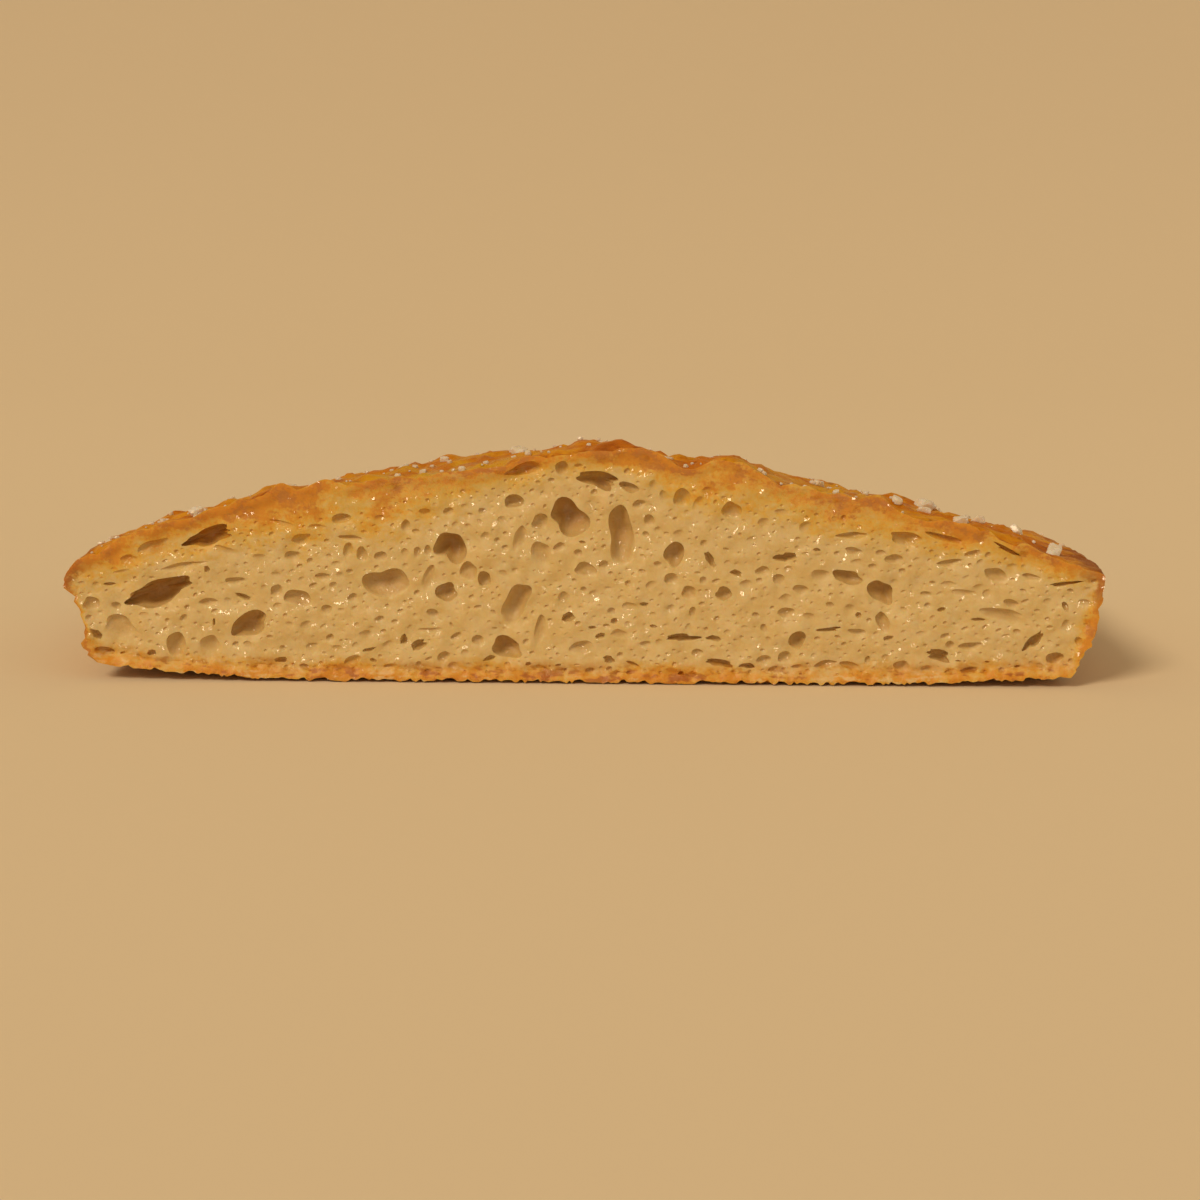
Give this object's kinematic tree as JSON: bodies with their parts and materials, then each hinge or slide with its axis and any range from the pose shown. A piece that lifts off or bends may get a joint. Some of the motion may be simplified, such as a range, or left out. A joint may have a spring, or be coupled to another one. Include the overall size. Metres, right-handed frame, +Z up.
{
  "type": "half focaccia",
  "caption": "Half of a small salted focaccia, cut lengthwise: domed oiled crust, open airy crumb on the cut face, flared baked side wall and flat base.",
  "frame": {"origin": "centre of the base, midway along the length and midway between the cut face and the back rim", "axes": "+X along the length of the half loaf, -Y out of the cut face, +Z up from the base to the top crust"},
  "size_m": [0.12, 0.047, 0.0277],
  "materials": {
    "bread": "baked golden crust with a thin film of oil over pale cream crumb",
    "salt": "translucent white crystal, slightly glossy"
  },
  "bodies": {
    "root": {"focaccia_half": "bread", "salt_crystal_01": "salt", "salt_crystal_02": "salt", "salt_crystal_03": "salt", "salt_crystal_04": "salt", "salt_crystal_05": "salt", "salt_crystal_06": "salt", "salt_crystal_07": "salt", "salt_crystal_08": "salt", "salt_crystal_09": "salt", "salt_crystal_10": "salt", "salt_crystal_11": "salt", "salt_crystal_12": "salt", "salt_crystal_13": "salt", "salt_crystal_14": "salt", "salt_crystal_15": "salt", "salt_crystal_16": "salt", "salt_crystal_17": "salt", "salt_crystal_18": "salt", "salt_crystal_19": "salt", "salt_crystal_20": "salt", "salt_crystal_21": "salt", "salt_crystal_22": "salt", "salt_crystal_23": "salt", "salt_crystal_24": "salt", "salt_crystal_25": "salt", "salt_crystal_26": "salt", "salt_crystal_27": "salt", "salt_crystal_28": "salt", "salt_crystal_29": "salt", "salt_crystal_30": "salt", "salt_crystal_31": "salt", "salt_crystal_32": "salt", "salt_crystal_33": "salt", "salt_crystal_34": "salt", "salt_crystal_35": "salt", "salt_crystal_36": "salt", "salt_crystal_37": "salt", "salt_crystal_38": "salt"}
  },
  "joints": []
}
